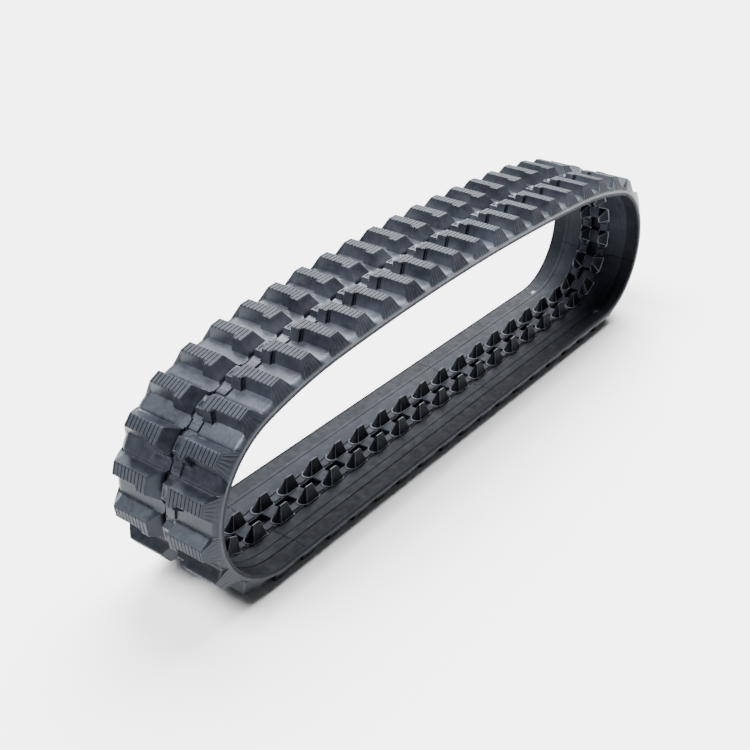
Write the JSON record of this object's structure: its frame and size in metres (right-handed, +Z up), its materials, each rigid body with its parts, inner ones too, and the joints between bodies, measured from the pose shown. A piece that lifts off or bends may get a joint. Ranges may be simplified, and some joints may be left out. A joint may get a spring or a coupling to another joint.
{
  "type": "rubber track",
  "caption": "Endless rubber track for a small tracked machine, with block tread lugs outside and steel-cored guide horns and sprocket windows inside.",
  "frame": {"origin": "ground level under the middle of the ground run, on the centre line", "axes": "+X along the ground run towards the front idler end, +Y across the belt to the left row of lugs, +Z up"},
  "size_m": [1.523, 0.23, 0.4282],
  "materials": {
    "tread_rubber": "moulded, semi-matt, lightly dusted with release agent",
    "inner_rubber": "moulded, satin",
    "core_iron": "forged, shot-blasted",
    "cord_steel": "brass-coated wire cords in skim rubber"
  },
  "bodies": {
    "bottom_run": {"tread_rubber_bottom_run": "tread_rubber", "lugs_right_bottom_run": "tread_rubber", "lugs_left_bottom_run": "tread_rubber", "roller_path_right_bottom_run": "inner_rubber", "roller_path_left_bottom_run": "inner_rubber", "guide_horns_bottom_run": "inner_rubber", "cores_bottom_run": "core_iron", "cord_plies_bottom_run": "cord_steel"},
    "front_lower_turn": {"tread_rubber_front_lower_turn": "tread_rubber", "lugs_right_front_lower_turn": "tread_rubber", "lugs_left_front_lower_turn": "tread_rubber", "roller_path_right_front_lower_turn": "inner_rubber", "roller_path_left_front_lower_turn": "inner_rubber", "guide_horns_front_lower_turn": "inner_rubber", "cores_front_lower_turn": "core_iron", "cord_plies_front_lower_turn": "cord_steel"},
    "front_upper_turn": {"tread_rubber_front_upper_turn": "tread_rubber", "lugs_right_front_upper_turn": "tread_rubber", "lugs_left_front_upper_turn": "tread_rubber", "roller_path_right_front_upper_turn": "inner_rubber", "roller_path_left_front_upper_turn": "inner_rubber", "guide_horns_front_upper_turn": "inner_rubber", "cores_front_upper_turn": "core_iron", "cord_plies_front_upper_turn": "cord_steel"},
    "top_front_run": {"tread_rubber_top_front_run": "tread_rubber", "lugs_right_top_front_run": "tread_rubber", "lugs_left_top_front_run": "tread_rubber", "roller_path_right_top_front_run": "inner_rubber", "roller_path_left_top_front_run": "inner_rubber", "guide_horns_top_front_run": "inner_rubber", "cores_top_front_run": "core_iron", "cord_plies_top_front_run": "cord_steel"},
    "top_rear_run": {"tread_rubber_top_rear_run": "tread_rubber", "lugs_right_top_rear_run": "tread_rubber", "lugs_left_top_rear_run": "tread_rubber", "roller_path_right_top_rear_run": "inner_rubber", "roller_path_left_top_rear_run": "inner_rubber", "guide_horns_top_rear_run": "inner_rubber", "cores_top_rear_run": "core_iron", "cord_plies_top_rear_run": "cord_steel"},
    "rear_upper_turn": {"tread_rubber_rear_upper_turn": "tread_rubber", "lugs_right_rear_upper_turn": "tread_rubber", "lugs_left_rear_upper_turn": "tread_rubber", "roller_path_right_rear_upper_turn": "inner_rubber", "roller_path_left_rear_upper_turn": "inner_rubber", "guide_horns_rear_upper_turn": "inner_rubber", "cores_rear_upper_turn": "core_iron", "cord_plies_rear_upper_turn": "cord_steel"},
    "rear_lower_turn": {"tread_rubber_rear_lower_turn": "tread_rubber", "lugs_right_rear_lower_turn": "tread_rubber", "lugs_left_rear_lower_turn": "tread_rubber", "roller_path_right_rear_lower_turn": "inner_rubber", "roller_path_left_rear_lower_turn": "inner_rubber", "guide_horns_rear_lower_turn": "inner_rubber", "cores_rear_lower_turn": "core_iron", "cord_plies_rear_lower_turn": "cord_steel"}
  },
  "joints": [
    {"name": "front_heel_flex", "type": "hinge", "parent": "bottom_run", "child": "front_lower_turn", "pos_m": [0.61193, 0, 0.0318], "axis": [0, 1, 0], "range_deg": [-4, 6], "stiffness_Nm_per_rad": 400, "springref_deg": -7.82},
    {"name": "front_nose_flex", "type": "hinge", "parent": "front_lower_turn", "child": "front_upper_turn", "pos_m": [0.73316, 0, 0.18898], "axis": [0, 1, 0], "range_deg": [-11.97, 8]},
    {"name": "front_shoulder_flex", "type": "hinge", "parent": "front_upper_turn", "child": "top_front_run", "pos_m": [0.60806, 0, 0.3483], "axis": [0, 1, 0], "range_deg": [-4, 5.97]},
    {"name": "rear_heel_flex", "type": "hinge", "parent": "bottom_run", "child": "rear_lower_turn", "pos_m": [-0.61193, 0, 0.0318], "axis": [0, 1, 0], "range_deg": [-6.05, 4.05]},
    {"name": "rear_nose_flex", "type": "hinge", "parent": "rear_lower_turn", "child": "rear_upper_turn", "pos_m": [-0.73316, 0, 0.18898], "axis": [0, 1, 0], "range_deg": [-8, 11.97]},
    {"name": "rear_shoulder_flex", "type": "hinge", "parent": "rear_upper_turn", "child": "top_rear_run", "pos_m": [-0.60806, 0, 0.3483], "axis": [0, 1, 0], "range_deg": [-5.97, 4]}
  ],
  "couplings": [
    {"joint": "front_nose_flex", "follows": "front_heel_flex", "ratio": -1.9866},
    {"joint": "front_shoulder_flex", "follows": "front_heel_flex", "ratio": 0.98656},
    {"joint": "rear_heel_flex", "follows": "front_heel_flex", "ratio": -1},
    {"joint": "rear_nose_flex", "follows": "front_heel_flex", "ratio": 1.9866},
    {"joint": "rear_shoulder_flex", "follows": "front_heel_flex", "ratio": -0.98656}
  ]
}
